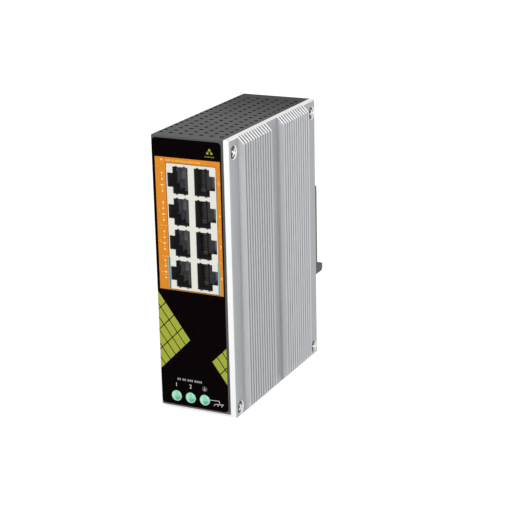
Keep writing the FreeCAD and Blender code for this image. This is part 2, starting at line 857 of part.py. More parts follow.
def make_clip_body():
    """The moulded rail clip: a fixed hook above, two wider cheeks below and a channel for the latch."""
    low, high = rail_low - clip_foot, rail_high + hook_crown
    lip = rail_high + rail_ease
    outline = [(case_depth, low), (hook_back - cheek_corner, low), (hook_back, low + cheek_corner),
               (hook_back, rail_low - rail_ease), (rail_plane, rail_low - rail_ease), (rail_plane, lip),
               (hook_front, lip), (hook_front, lip - hook_overlap), (hook_back, lip - hook_overlap),
               (hook_back, high - clip_corner), (hook_back - clip_corner, high), (case_depth, high)]
    across = (clip_side_margin, case_width - clip_side_margin)
    body = prism([(across[0], y, z) for y, z in outline], (across[1] - across[0], 0, 0))
    half = latch_width / 2 + latch_ease
    depth = latch_plate + latch_ease
    channel = block((clip_middle - half, clip_middle + half), (rail_plane - depth, hook_back + past),
                    (low - past, latch_plate_top + latch_ease))
    boss_half = spring_outer
    boss = block((clip_middle - boss_half, clip_middle + boss_half), (rail_plane - depth - past, rail_plane),
                 (boss_top - boss_height, boss_top))
    body = body.cut(channel).fuse(boss)
    wells = []
    for side in ((0, hook_side_margin), (case_width - hook_side_margin, case_width)):
        wells.append(block(side, (rail_plane, hook_back + past), (rail_centre, high + past)))
    for x, z in clip_screw_places():
        wells.append(rod(Y_WAY, clip_screw_radius + screw_clearance, (x, case_depth - sheet, z),
                         clip_base, hidden_sides))
        wells.append(rod(Y_WAY, clip_screw_head_radius + screw_clearance,
                         (x, case_depth + clip_base / 2, z), clip_base, seen_sides))
    return body.cut(wells).removeSplitter()


def make_clip_latch():
    """The sliding latch: a plate with a window for the spring, a hook and a slot for a screwdriver."""
    half = latch_width / 2
    front = rail_plane - latch_plate
    low = rail_low - latch_drop
    under = rail_low - rail_ease
    face = rail_plane - latch_ease
    root = under - latch_hook_root
    outline = [(front, low), (face, low), (face, root), (hook_back - latch_ease, root),
               (hook_back - latch_ease, under), (hook_front + latch_ease, under + latch_hook_rise),
               (hook_front + latch_ease, under), (face, under), (face, latch_plate_top),
               (front, latch_plate_top)]
    latch = prism([(clip_middle - half, y, z) for y, z in outline], (2 * half, 0, 0))
    window_half = spring_outer + spring_window_ease
    window = block((clip_middle - window_half, clip_middle + window_half), (front - past, rail_plane + past),
                   (boss_top - boss_height - spring_window_ease, spring_top))
    slot_top = root - driver_slot_height / 2
    slot = block((clip_middle - driver_slot_width / 2, clip_middle + driver_slot_width / 2),
                 (front - past, rail_plane + past), (slot_top - driver_slot_height, slot_top))
    return latch.cut([window, slot])


def make_clip_spring():
    """A coil of square wire between the boss and the top of the latch's window."""
    height = spring_top - boss_top
    radius = spring_outer - spring_wire / 2
    turn = (height - spring_wire - 2 * spring_end_ease) / spring_turns
    steps = int(turns_in_steps * spring_turns)
    path = []
    for step in range(steps + 1):
        angle = 2 * math.pi * step / turns_in_steps
        path.append(Vector(radius * math.cos(angle), radius * math.sin(angle), turn * step / turns_in_steps))
    half = spring_wire / 2
    ring = [Vector(radius - half, 0, -half), Vector(radius + half, 0, -half),
            Vector(radius + half, 0, half), Vector(radius - half, 0, half)]
    right_corner = 1
    outline = Part.makePolygon(ring + ring[:1])
    sweep = Part.makePolygon(path).makePipeShell([outline], True, False, right_corner)
    middle = rail_plane - latch_ease - latch_plate / 2
    return sweep.translated(Vector(clip_middle, middle, boss_top + half + spring_end_ease))


def make_clip_screws():
    """The two screws that hold the clip to the case, their heads sunk in wells."""
    screw = cross_screw(clip_screw_radius, clip_base / 2 + clip_screw_bite, clip_screw_head_radius,
                        clip_screw_head_height)
    return Part.makeCompound([facing(screw, Y_WAY, (x, case_depth + clip_base / 2, z))
                              for x, z in clip_screw_places()])


def build():
    """Every piece by its name."""
    power_span, main_span = board_spans()
    pieces = {
        "housing": make_housing(),
        "heat_sink": make_heat_sink(),
        "heat_sink_screws": make_heat_sink_screws(),
        "front_label": make_front_label(),
        "label_orange_field": make_label_orange_field(),
        "label_diamond_fields": make_label_diamond_fields(),
        "jack_shield": make_jack_shield(),
        "jack_housing": make_jack_housing(),
        "status_light_guides": make_light_guides(),
        "status_lights": make_status_lights(),
        "status_light_board": make_light_board(),
        "main_board": make_board(*main_span),
        "power_board": make_board(*power_span),
        "board_posts": make_board_posts(),
        "board_screws": make_board_screws(),
        "switch_chip": make_switch_chip(),
        "switch_chip_pad": make_switch_chip_pad(),
        "power_feed_chips": make_power_chips(),
        "power_feed_chip_pads": make_power_chip_pads(),
        "line_transformers": make_line_transformers(),
        "transformer_core": make_transformer_core(),
        "transformer_winding": make_transformer_winding(),
        "bulk_capacitor": make_bulk_capacitor(),
        "output_capacitors": make_output_capacitors(),
        "line_choke": make_line_choke(),
        "fuse": make_fuse(),
        "bridge_rectifier": make_rectifier(),
        "power_transistor": make_power_transistor(),
        "transistor_pad": make_transistor_pad(),
        "board_link": make_board_link(),
        "insulating_sheet": make_insulating_sheet(),
        "terminal_block": make_terminal_block(),
        "terminal_clamps": make_terminal_clamps(),
        "terminal_screws": make_terminal_screws(),
        "terminal_caps": make_terminal_caps(),
        "clip_body": make_clip_body(),
        "clip_latch": make_clip_latch(),
        "clip_spring": make_clip_spring(),
        "clip_screws": make_clip_screws(),
    }
    for number, (side, level) in enumerate(each_port(), 1):
        pieces[f"port_{number}_contacts"] = make_port_contacts(side, level)
    return pieces


os.makedirs("parts", exist_ok=True)
for name, shape in build().items():
    placed = shape.translated(-origin)
    placed.exportStep(f"parts/{name}.step")
    print(f"{name}: {len(placed.Solids)} solid, {placed.Volume:.1f} mm3, valid {placed.isValid()}")
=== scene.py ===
# %% [markdown]
# # A network switch with a spring clip
# The switch is a folded steel case with a finned aluminium side, eight sockets in a bright shield, a
# printed label and a plastic clip at the back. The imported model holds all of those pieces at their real
# size, so this lesson starts from it and adds what a model of the construction leaves out: finishes, print,
# and the small forms that catch the light.

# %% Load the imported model
import json
import math

import bmesh
import bpy
from mathutils import Matrix, Vector


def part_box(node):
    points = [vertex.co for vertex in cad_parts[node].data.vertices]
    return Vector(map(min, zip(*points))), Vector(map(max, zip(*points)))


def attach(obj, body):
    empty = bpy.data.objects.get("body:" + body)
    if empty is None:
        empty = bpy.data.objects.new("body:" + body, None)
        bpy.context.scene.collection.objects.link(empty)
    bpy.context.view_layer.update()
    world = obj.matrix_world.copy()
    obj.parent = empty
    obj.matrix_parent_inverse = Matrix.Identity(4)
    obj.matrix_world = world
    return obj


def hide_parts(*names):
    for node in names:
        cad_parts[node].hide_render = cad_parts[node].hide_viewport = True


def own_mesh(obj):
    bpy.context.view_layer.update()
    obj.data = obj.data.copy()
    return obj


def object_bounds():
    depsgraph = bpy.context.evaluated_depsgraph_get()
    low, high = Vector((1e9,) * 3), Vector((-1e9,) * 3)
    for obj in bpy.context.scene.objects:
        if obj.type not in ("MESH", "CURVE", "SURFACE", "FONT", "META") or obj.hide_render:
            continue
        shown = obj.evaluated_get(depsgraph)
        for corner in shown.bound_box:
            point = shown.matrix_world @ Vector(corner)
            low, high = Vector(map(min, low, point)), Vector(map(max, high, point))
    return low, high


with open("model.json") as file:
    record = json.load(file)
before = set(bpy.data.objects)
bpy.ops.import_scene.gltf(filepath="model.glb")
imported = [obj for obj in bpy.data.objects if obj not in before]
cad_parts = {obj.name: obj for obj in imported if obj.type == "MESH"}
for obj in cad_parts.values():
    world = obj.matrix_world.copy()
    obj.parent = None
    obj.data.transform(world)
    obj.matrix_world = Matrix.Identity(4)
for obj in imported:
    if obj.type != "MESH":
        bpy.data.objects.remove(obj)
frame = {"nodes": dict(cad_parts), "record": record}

nodes = frame["nodes"]
model_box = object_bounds()
mm = 0.001
print(len(nodes), "pieces, overall", [round(side / mm, 1) for side in model_box[1] - model_box[0]], "mm")

# %% [markdown]
# ## Where things are
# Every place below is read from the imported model, so nothing needs to be fitted later. The printer of the
# label measured from the case's left edge and top edge, and so does this lesson: `on_label` turns such a
# pair of distances into a point on the printed face.

# %% Places that the lesson measures from
packed_ink = 0.04
case_low, case_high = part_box("housing")
print_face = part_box("label_orange_field")[0].y
film_face = print_face + packed_ink * mm


def on_label(across, down, proud=0.0):
    """A point before the label, from millimetres right of the case's edge and below its top."""
    return Vector((case_low.x + across * mm, film_face - proud * mm, case_high.z - down * mm))


def label_box(name):
    """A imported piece's box in the label's own measures: left, top, right, bottom in millimetres."""
    low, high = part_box(name)
    return ((low.x - case_low.x) / mm, (case_high.z - high.z) / mm,
            (high.x - case_low.x) / mm, (case_high.z - low.z) / mm)


shield_left, shield_top, shield_right, shield_bottom = label_box("jack_shield")
field_left, field_top, field_right = label_box("label_orange_field")[:3]
port_rows = [sum(label_box(f"port_{number}_contacts")[1::2]) / 2 for number in range(1, 5)]
print("label face at y =", round(film_face / mm, 2), "mm")
print("rows of sockets at", [round(row, 2) for row in port_rows], "mm below the top")

# %% [markdown]
# ## The camera
# The photographer stood to the right of the switch and a little above it, with a long lens. The box's edges
# in the picture give the angles and the distance, so the camera is set by those numbers and by nothing
# else. A tilt of one degree comes from the way the camera was held.

# %% Camera
camera_place = Vector((0.30288, -0.65341, 0.21532))
look_turn = math.radians(26.083)
look_down = math.radians(17.693)
camera_tilt = math.radians(-1.337)
lens_length = 108.29

camera = bpy.data.objects.new("camera", bpy.data.cameras.new("camera"))
bpy.context.scene.collection.objects.link(camera)
camera.data.lens = lens_length
camera.data.sensor_width = 36.0
camera.data.clip_end = 20.0
camera.rotation_euler = (Matrix.Rotation(look_turn, 3, "Z") @ Matrix.Rotation(math.pi / 2 - look_down, 3, "X")
                         @ Matrix.Rotation(camera_tilt, 3, "Z")).to_euler()
camera.location = camera_place
bpy.context.scene.camera = camera
middle = (model_box[0] + model_box[1]) / 2
print("camera", round((camera_place - middle).length, 3), "m from the switch")

# %% [markdown]
# ## Nodes by name
# Light and finishes are graphs of nodes. These helpers add a node, join two sockets and bring several
# values together. The last one tells what is seen, straight or by way of metal or glass, from light that
# falls on things.

# %% Helpers for nodes
def add_node(owner, kind, **sockets):
    """A node of one kind in a material or a world, with its number sockets set by name."""
    made = owner.node_tree.nodes.new(kind)
    for socket, value in sockets.items():
        made.inputs[socket.replace("_", " ")].default_value = value
    return made


def join(owner, start, end):
    """Lead an output into an input."""
    owner.node_tree.links.new(start, end)


def joined(owner, operation, first, *others):
    """Several values brought together by one kind of sum."""
    for other in others:
        step = add_node(owner, "ShaderNodeMath")
        step.operation = operation
        join(owner, first, step.inputs[0])
        join(owner, other, step.inputs[1])
        first = step.outputs[0]
    return first


def when_seen(owner):
    """1 for a ray that shows a surface to the camera, and 0 for one that asks what light it gives."""
    rays = add_node(owner, "ShaderNodeLightPath")
    kinds = ("Is Camera Ray", "Is Glossy Ray", "Is Transmission Ray")
    return joined(owner, "ADD", *[rays.outputs[kind] for kind in kinds])


print("helpers for nodes ready")

# %% [markdown]
# ## A white surround
# The picture was taken in a white studio. What is seen of the surround is white, while the light that it
# gives stays low, so that colours come out as they are written. One Map Range turns the kind of ray into a
# strength.

# %% Surround
surround_light = 0.5
surround_seen = 1.0
scene = bpy.context.scene
scene.view_settings.view_transform = "Standard"
world = bpy.data.worlds.new("studio")
scene.world = world
world.use_nodes = True
surround = world.node_tree.nodes["Background"]
surround.inputs["Color"].default_value = (1.0, 1.0, 1.0, 1.0)
strength = add_node(world, "ShaderNodeMapRange", To_Min=surround_light, To_Max=surround_seen)
join(world, when_seen(world), strength.inputs["Value"])
join(world, strength.outputs["Result"], surround.inputs["Strength"])
print("surround gives", surround_light, "and shows", surround_seen)

# %% [markdown]
# ## Two soft lamps
# Two large lamps shape the piece: one above the front, one at the finned side. An area lamp is as soft as
# it is large, like a softbox.

# %% Lamps
def lamp(name, place, target, width, height, power):
    """A soft rectangular lamp that points at a place."""
    light = bpy.data.lights.new(name, "AREA")
    light.shape = "RECTANGLE"
    light.size = width
    light.size_y = height
    light.energy = power
    holder = bpy.data.objects.new(name, light)
    holder.location = place
    holder.rotation_euler = (target - Vector(place)).to_track_quat("-Z", "Y").to_euler()
    scene.collection.objects.link(holder)


lamp("front_lamp", (0.42, -1.15, 0.3), middle, 0.6, 0.6, 8.0)
lamp("side_lamp", (1.25, -0.1, 0.3), middle, 0.7, 1.0, 4.3)
print("lamps point at", [round(side / mm, 1) for side in middle], "mm")

# %% [markdown]
# ## Finishes from one kit
# Every finish here is one shader with its even values set on the shader itself, and a few noise fields that
# make it uneven: in colour, in gloss and in height. Coordinates are metres on the switch, so a grain of 0.2
# mm is a number of that size.

# %% Shader and noise
def grey(level):
    """A colour with no hue."""
    return (level, level, level)


def sockets_of(material):
    """The inputs of a material's shader."""
    return material.node_tree.nodes["Principled BSDF"].inputs


def new_finish(name, colour, rough, metal=0.0, specular=0.5, coat=0.0):
    """A material whose even values sit on the shader's own sockets."""
    material = bpy.data.materials.new(name)
    material.use_nodes = True
    for socket, value in (("Base Color", (*colour, 1.0)), ("Roughness", rough), ("Metallic", metal),
                          ("Specular IOR Level", specular), ("Coat Weight", coat)):
        sockets_of(material)[socket].default_value = value
    return material


def grain(material, size, stretch=(1.0, 1.0, 1.0), detail=2.0):
    """Noise whose spots are about `size` millimetres wide, drawn out along an axis by its stretch."""
    place = add_node(material, "ShaderNodeTexCoord")
    drawn = add_node(material, "ShaderNodeMapping", Scale=tuple(1 / part for part in stretch))
    noise = add_node(material, "ShaderNodeTexNoise", Scale=1 / (size * mm), Detail=detail, Roughness=0.55)
    join(material, place.outputs["Object"], drawn.inputs["Vector"])
    join(material, drawn.outputs["Vector"], noise.inputs["Vector"])
    return noise.outputs[0]


def spread_between(material, field, low, high):
    """A field of about 0.3 to 0.7, brought to run from one value to another."""
    spread = add_node(material, "ShaderNodeMapRange", From_Min=0.3, From_Max=0.7, To_Min=low, To_Max=high)
    join(material, field, spread.inputs["Value"])
    return spread.outputs["Result"]


finishes = {}
print("shader and noise ready")

# %% [markdown]
# ### What a field drives
# `tint` lets a field move the colour between two tones, `gloss` lets it move the roughness, and `relief`
# turns it into height. `uneven` is a tint by a small share to each side of one tone, which inks and
# plastics have.

# %% Colour, gloss and height
def mixed(material, mask, tone):
    """Turn the shader's colour to a tone where a mask is 1, and give the socket for the colour below it."""
    mix = add_node(material, "ShaderNodeMix")
    mix.data_type = "RGBA"
    mix.inputs["B"].default_value = (*tone, 1.0)
    join(material, mask, mix.inputs["Factor"])
    join(material, mix.outputs["Result"], sockets_of(material)["Base Color"])
    return mix.inputs["A"]


def tint(material, field, dark, light):
    """Colour that follows a field from one tone to another."""
    mixed(material, spread_between(material, field, 0.0, 1.0), light).default_value = (*dark, 1.0)


def uneven(material, field, colour, change):
    """Colour that follows a field by a share to each side of one tone."""
    tint(material, field, tuple(part * (1 - change) for part in colour),
         tuple(min(part * (1 + change), 1.0) for part in colour))


def gloss(material, field, low, high):
    """Roughness that follows a field."""
    join(material, spread_between(material, field, low, high), sockets_of(material)["Roughness"])


def relief(material, field, height, strength=1.0):
    """Small height differences, in millimetres, that follow a field."""
    bump = add_node(material, "ShaderNodeBump", Distance=height * mm, Strength=strength)
    join(material, field, bump.inputs["Height"])
    join(material, bump.outputs["Normal"], sockets_of(material)["Normal"])


print("colour, gloss and height ready")

# %% [markdown]
# ### Masks
# A mask picks out a part of a piece by its place or by the way that it faces, and `lay_over` gives that
# part a tone of its own; many of those tones here are painted light or painted shade. Such masks need no
# painting and no unwrapping.

# %% Masks
def part_of(material, source, axis, low, high):
    """A mask that rises from 0 to 1 as one part of a place or a direction goes from low to high."""
    surface = add_node(material, "ShaderNodeNewGeometry")
    parts = add_node(material, "ShaderNodeSeparateXYZ")
    mask = add_node(material, "ShaderNodeMapRange", From_Min=low, From_Max=high)
    join(material, surface.outputs[source], parts.inputs["Vector"])
    join(material, parts.outputs[axis], mask.inputs["Value"])
    return mask.outputs["Result"]


def overlap(material, *masks):
    """1 where every one of these masks is 1."""
    return joined(material, "MULTIPLY", *masks)


def lay_over(material, mask, tone):
    """Lay a second tone over the colour that the shader has so far, where a mask is 1."""
    before = sockets_of(material)["Base Color"].links[0].from_socket
    join(material, before, mixed(material, mask, tone))


print("masks ready")

# %% [markdown]
# ## Powder coat on the folded case
# The case is sheet steel with a dark grey powder coat. Up close such a coat is not smooth: it has an
# orange-peel surface with swells under half a millimetre across, and its gloss changes with them. One noise
# field drives colour, gloss and height together, because on the real coat they have the same cause.

# %% Powder coat
coat = new_finish("dark_powder_coat", (0.08, 0.08, 0.082), 0.55, specular=0.15)
peel = grain(coat, 0.45, detail=3.0)
tint(coat, peel, (0.07, 0.07, 0.072), (0.094, 0.094, 0.096))
gloss(coat, peel, 0.48, 0.62)
relief(coat, peel, 0.02, 0.5)
finishes["sheet_steel"] = coat
print("sheet_steel:", coat.name)

# %% [markdown]
# ### Painted light and shade on the coat
# The top is painted lighter near the front and darker towards the rear, as painted light that falls off
# towards the back. The walls of the punched holes are painted nearly black, as painted shade in the holes.
# The lowest millimetre and a half is paler, and the bend at the top of the front has a painted highlight.
# Masks from the case's own box keep each of these tones in its place.

# %% Tones over the coat
upward = part_of(coat, "True Normal", "Z", 0.5, 0.8)
painted_light_front = part_of(coat, "Position", "Y", case_high.y, case_low.y + 30 * mm)
painted_shade_rear = part_of(coat, "Position", "Y", case_high.y - 50 * mm, case_high.y - 10 * mm)
# Painted light: the top is made lighter near the front and darker towards the rear, as light falling off
# towards the back.
lay_over(coat, overlap(coat, upward, painted_light_front), grey(0.092))
lay_over(coat, overlap(coat, upward, painted_shade_rear), grey(0.006))
# The lowest millimetre and a half of the case is made paler.
foot = part_of(coat, "Position", "Z", case_low.z + 1.6 * mm, case_low.z + 1.0 * mm)
lay_over(coat, foot, (0.13, 0.13, 0.135))
# Painted highlight along the bend at the top of the front.
painted_bend_highlight = [part_of(coat, "Normal", "Y", -0.1, -0.3), part_of(coat, "Normal", "Z", 0.6, 0.85)]
lay_over(coat, overlap(coat, *painted_bend_highlight), grey(0.14))
# Painted shade: the walls of the punched holes near the top are made nearly black.
painted_hole_shade = [part_of(coat, "True Normal", "Z", 0.5, 0.3),
        part_of(coat, "Position", "Z", case_high.z - 1.5 * mm, case_high.z - 1.4 * mm)]
for axis, near, far in (("X", case_low.x, case_high.x), ("Y", case_low.y, case_high.y)):
    painted_hole_shade.append(part_of(coat, "Position", axis, near + 1.1 * mm, near + 1.2 * mm))
    painted_hole_shade.append(part_of(coat, "Position", axis, far - 1.1 * mm, far - 1.2 * mm))
lay_over(coat, overlap(coat, *painted_hole_shade), grey(0.006))
print("the rims of the holes take", len(painted_hole_shade), "masks")

# %% [markdown]
# ## Extruded aluminium
# The finned side is pushed through a die as one long bar and sawn to length. The die leaves fine lines
# along the fins, so the noise is drawn out sixty times along Z. A metallic share of 0.4 stands for the thin
# oxide layer, which dulls the mirror of the bare metal.

# %% Extruded aluminium
fins = new_finish("anodised_extrusion", (0.5, 0.51, 0.53), 0.5, metal=0.4)
die_lines = grain(fins, 0.5, stretch=(1.0, 1.0, 60.0), detail=4.0)
tint(fins, die_lines, (0.34, 0.35, 0.36), (0.41, 0.42, 0.43))
gloss(fins, die_lines, 0.42, 0.58)
relief(fins, die_lines, 0.01, 0.4)
finishes["fins"] = fins
print("fins: lines along Z")

# %% [markdown]
# ### Painted light on the fins
# The outer edges of the fins are painted lighter, most of all towards the rear, as painted light on the parts
# that stand out, while the low strips beside them stay a little darker as painted shade. The front edge of
# the screw strip is a milled face with a painted highlight over it and its rounding, and every face that
# points up is painted near white as a painted highlight, which also stands for the bare sawn ends of the
# fins. The surface's own normal tells these faces, and for the front edge its place is asked as well,
# because the sides of the fins face the same way.

# %% Edges and ends of the extrusion
sink_low, sink_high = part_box("heat_sink")
painted_lit_edges = part_of(fins, "Position", "X", sink_high.x - 2.6 * mm, sink_high.x - 1.6 * mm)
rear_half = part_of(fins, "Position", "Y", sink_high.y - 50 * mm, sink_high.y - 30 * mm)
forward = part_of(fins, "Normal", "Y", -0.45, -0.97)
front_edge = part_of(fins, "Position", "Y", sink_low.y + 2 * mm, sink_low.y + 1 * mm)
# Painted light: the fins' outer edges are made lighter, most of all towards the rear, and the low strips stay
# darker as painted shade.
lay_over(fins, painted_lit_edges, (0.49, 0.5, 0.52))
lay_over(fins, overlap(fins, painted_lit_edges, rear_half), (0.56, 0.57, 0.59))
# The milled front face of the screw strip, with a painted highlight that fades over its rounding.
lay_over(fins, overlap(fins, forward, front_edge), grey(0.8))
# Painted highlight: every face that points up is made near white, which also stands for the bare sawn ends of
# the fins.
lay_over(fins, part_of(fins, "True Normal", "Z", 0.4, 0.6), grey(0.97))
print("fins are bright from x =", round(sink_high.x / mm - 1.6, 2), "mm outwards")

# %% [markdown]
# ## Plated screws, springs and the bright shield
# Plated steel mirrors the room, but a small screw has been tumbled with thousands of others and is finely
# scratched all over. The shield round the sockets is thin tin plate, paler and softer in gloss, and rolled
# in one direction, so its lines run along X.

# %% Plated metals
def plated(name, dark, light, rough, stretch=(1, 1, 1), metal=1.0):
    """A plated metal with fine lines or scratches."""
    material = new_finish(name, light, rough, metal=metal)
    scratch = grain(material, 0.3, stretch=stretch, detail=4.0)
    tint(material, scratch, dark, light)
    gloss(material, scratch, rough * 0.8, rough * 1.2)
    relief(material, scratch, 0.004, 0.5)
    return material


finishes["screw_steel"] = plated("plated_screw", (0.5, 0.5, 0.49), (0.72, 0.72, 0.7), 0.28)
finishes["dark_screw"] = plated("blackened_screw", grey(0.05), grey(0.12), 0.3)
# Painted highlight: a pale metal for the rims of the screw wells and the recesses of the side screws.
finishes["painted_highlight_metal"] = plated("painted_highlight", grey(0.85), grey(0.95), 0.5, metal=0.3)
finishes["spring_steel"] = plated("spring_wire", (0.32, 0.32, 0.33), grey(0.5), 0.3)
finishes["shield_plate"] = plated("tin_plate", (0.64, 0.63, 0.57), (0.71, 0.7, 0.635), 0.45, (40, 1, 1), 0.3)
# The contacts' gold is darkened as painted shade for the depth of the sockets.
finishes["contact_gold"] = plated("contact_gold", (0.3, 0.2, 0.08), (0.45, 0.31, 0.13), 0.3, (1, 20, 1))
finishes["brass_post"] = plated("turned_brass", (0.5, 0.38, 0.16), (0.62, 0.48, 0.22), 0.3)
print("metals:", list(finishes)[2:])

# %% [markdown]
# ## Printed film
# The label is a polyester film printed on its back, so its face has one fine matte texture whatever the
# ink. Black, orange and lime share a recipe and differ in colour only. The inks vary by a few percent, as a
# screen print does.

# %% Inks and film
def printed(name, colour, change=0.06):
    """Screen print under a matte film."""
    material = new_finish(name, colour, 0.6, specular=0.01)
    uneven(material, grain(material, 1.6, detail=5.0), colour, change)
    relief(material, grain(material, 0.12), 0.004, 0.4)
    return material


finishes["label_film"] = printed("black_film", (0.002, 0.0008, 0.0012), 0.3)
inks = {"orange_ink": (0.675, 0.235, 0.023), "lime_ink": (0.34, 0.38, 0.05), "cream_ink": (0.9, 0.68, 0.28),
        "pale_orange_ink": (0.88, 0.42, 0.09), "white_ink": grey(0.6), "dim_white_ink": grey(0.32),
        "teal_ink": (0.14, 0.42, 0.42), "dim_lime_ink": (0.2, 0.22, 0.04)}
for name, colour in inks.items():
    finishes[name] = printed(name, colour)
print("inks:", list(inks))

# %% [markdown]
# ## Moulded plastics and soft pads
# Moulded parts take the texture of their mould: glass-filled ones are dull with a slight mottle, and glossy
# ones are nearly smooth. One recipe with a size of grain and a range of gloss serves them all. The terminal
# caps are shallow domes whose tone follows the slope as painted light: painted shade on their lower part,
# a painted highlight on their left part.

# %% Moulded parts
def moulded(name, colour, rough, size=0.3, height=0.01, coat=0.0):
    """A plastic with the texture of its mould."""
    material = new_finish(name, colour, rough, coat=coat)
    texture = grain(material, size, detail=3.0)
    uneven(material, texture, colour, 0.12)
    gloss(material, texture, rough * 0.85, min(rough * 1.15, 1.0))
    relief(material, texture, height, 0.5)
    return material


finishes["jack_plastic"] = moulded("socket_moulding", (0.02, 0.02, 0.023), 0.5)
# The carrier's grey is partly its own colour and partly painted light.
finishes["carrier_grey_and_painted_light"] = moulded("carrier_moulding_and_painted_light", (0.16, 0.16, 0.17), 0.55)
# The comb is a lighter grey than the black moulding, as painted light on its ribs and posts.
finishes["comb_lit_grey"] = moulded("comb_lit_moulding", (0.045, 0.045, 0.048), 0.55)
# A near-black ring that stands for the shade in the screw wells: painted shade.
finishes["painted_shade_washer"] = moulded("painted_shade_washer", grey(0.02), 0.4)
cap_green = moulded("mint_moulding_painted_light", (0.22, 0.62, 0.38), 0.3, size=0.8, height=0.005, coat=0.3)
# Painted shade on the lower slope of each dome and a painted highlight on its left slope.
lay_over(cap_green, part_of(cap_green, "Normal", "Z", 0.03, -0.12), (0.09, 0.38, 0.22))
lay_over(cap_green, part_of(cap_green, "Normal", "X", -0.02, -0.2), (0.42, 0.87, 0.62))
finishes["cap_green"] = cap_green
finishes["cap_rim"] = moulded("pale_mint_rim", (0.38, 0.76, 0.55), 0.35, size=0.8, height=0.005, coat=0.2)
finishes["terminal_green"] = moulded("terminal_moulding", (0.06, 0.35, 0.14), 0.45)
finishes["clip_plastic"] = moulded("clip_moulding", (0.05, 0.05, 0.053), 0.55, size=0.5, height=0.02)
finishes["latch_plastic"] = moulded("latch_moulding", (0.035, 0.035, 0.038), 0.5, size=0.5, height=0.02)
finishes["clear_guide"] = moulded("frosted_guide", (0.8, 0.8, 0.75), 0.3)
finishes["light_lens"] = moulded("lamp_lens", (0.85, 0.82, 0.68), 0.25)
finishes["link_plastic"] = moulded("link_moulding", (0.6, 0.58, 0.5), 0.5)
finishes["pad_grey"] = moulded("soft_pad", (0.32, 0.38, 0.46), 0.85, size=0.6, height=0.05)
finishes["insulator"] = moulded("polyester_sheet", (0.52, 0.48, 0.33), 0.4, size=2.0, height=0.01)
print("moulded finishes:", sum(1 for part in finishes.values() if "mould" in part.name))

# %% [markdown]
# ## Boards and what sits on them
# Inside, almost nothing shows, yet the pieces are there and get their real finish: green solder mask over a
# weave of glass, dull chip packages, glazed ferrite, sleeved cans and enamelled wire. The weave is two sets
# of bands at right angles, which a wave texture gives without any picture.

# %% Boards and parts
board = new_finish("solder_mask", (0.02, 0.13, 0.055), 0.3, coat=0.2)
board_place = add_node(board, "ShaderNodeTexCoord")
weave = []
for direction in ("Y", "Z"):
    band = add_node(board, "ShaderNodeTexWave", Scale=1 / (2.5 * mm), Distortion=0.3)
    band.bands_direction = direction
    join(board, board_place.outputs["Object"], band.inputs["Vector"])
    weave.append(band.outputs["Fac"])
crossing = overlap(board, *weave)
tint(board, crossing, (0.016, 0.11, 0.045), (0.03, 0.17, 0.08))
relief(board, crossing, 0.01, 0.4)
finishes["board_green"] = board
finishes["chip_black"] = moulded("chip_package", grey(0.03), 0.6, size=0.15)
finishes["ferrite"] = moulded("glazed_ferrite", (0.05, 0.05, 0.055), 0.4, size=0.8)
finishes["winding_tape"] = moulded("winding_tape", (0.75, 0.58, 0.08), 0.35, size=1.5)
finishes["can_sleeve"] = moulded("can_sleeve", (0.02, 0.03, 0.08), 0.3, size=1.0, height=0.004, coat=0.3)
finishes["choke_wire"] = plated("enamelled_wire", (0.4, 0.14, 0.04), (0.6, 0.26, 0.09), 0.3, (1, 1, 4), 0.6)
finishes["fuse_sleeve"] = moulded("fuse_sleeve", (0.45, 0.44, 0.4), 0.5)
print("finishes in all:", len(finishes))

# %% [markdown]
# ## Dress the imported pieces
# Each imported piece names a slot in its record, and each slot has a finish above, so one loop dresses all of
# them. A folded sheet or a moulding never has a perfectly sharp edge. A narrow bevel, made by a modifier so
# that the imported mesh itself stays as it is, gives each edge its thin line of light.

# %% Give each piece its finish and its edges
slot_of = {part["node"]: part["material_slot"] for part in frame["record"]["subparts"]}
for name, piece in nodes.items():
    piece.data.materials.clear()
    piece.data.materials.append(finishes[slot_of[name]])


def soften(piece, width):
    """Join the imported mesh's loose faces and round its edges by a fraction of a millimetre."""
    weld = piece.modifiers.new("weld", "WELD")
    weld.merge_threshold = 0.002 * mm
    bevel = piece.modifiers.new("bevel", "BEVEL")
    bevel.width = width * mm
    bevel.segments = 2
    bevel.limit_method = "ANGLE"
    bevel.angle_limit = math.radians(35)
    bevel.harden_normals = True


edge_widths = {"housing": 0.12, "heat_sink": 0.12, "jack_shield": 0.08, "jack_housing": 0.12,
               "clip_body": 0.3, "clip_latch": 0.25}
for name, width in edge_widths.items():
    soften(nodes[name], width)
print("dressed", len(nodes), "pieces; rounded the edges of", len(edge_widths))

# %% [markdown]
# ## From a shape to a mesh
# New forms are drawn as loose shapes or as curves. Either becomes a mesh when it is ready, and meshes that
# share a finish are gathered into one.

# %% Meshes
def mesh_of(name, shape):
    """The mesh of a drawn shape, which is used up by it."""
    mesh = bpy.data.meshes.new(name)
    shape.to_mesh(mesh)
    shape.free()
    return mesh


def mesh_from_curve(curve):
    """The mesh of a curve or a text, which is used up by it."""
    holder = bpy.data.objects.new("holder", curve)
    mesh = bpy.data.meshes.new_from_object(holder)
    bpy.data.objects.remove(holder)
    bpy.data.curves.remove(curve)
    return mesh


def gather(group, mesh):
    """Add a mesh to a group of shapes and throw the mesh away."""
    group.from_mesh(mesh)
    bpy.data.meshes.remove(mesh)


print("meshes ready")

# %% [markdown]
# ## From a mesh to a piece
# A piece has a mesh, a finish and the body that it rides on. Print and the fine parts of the sockets are
# prisms, so one helper makes a piece from any number of those.

# %% Pieces
def finish_piece(name, mesh, finish):
    """A new piece from a mesh: its finish and the body that it rides on."""
    piece = bpy.data.objects.new(name, mesh)
    scene.collection.objects.link(piece)
    mesh.materials.append(finishes[finish])
    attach(piece, "switch")
    return piece


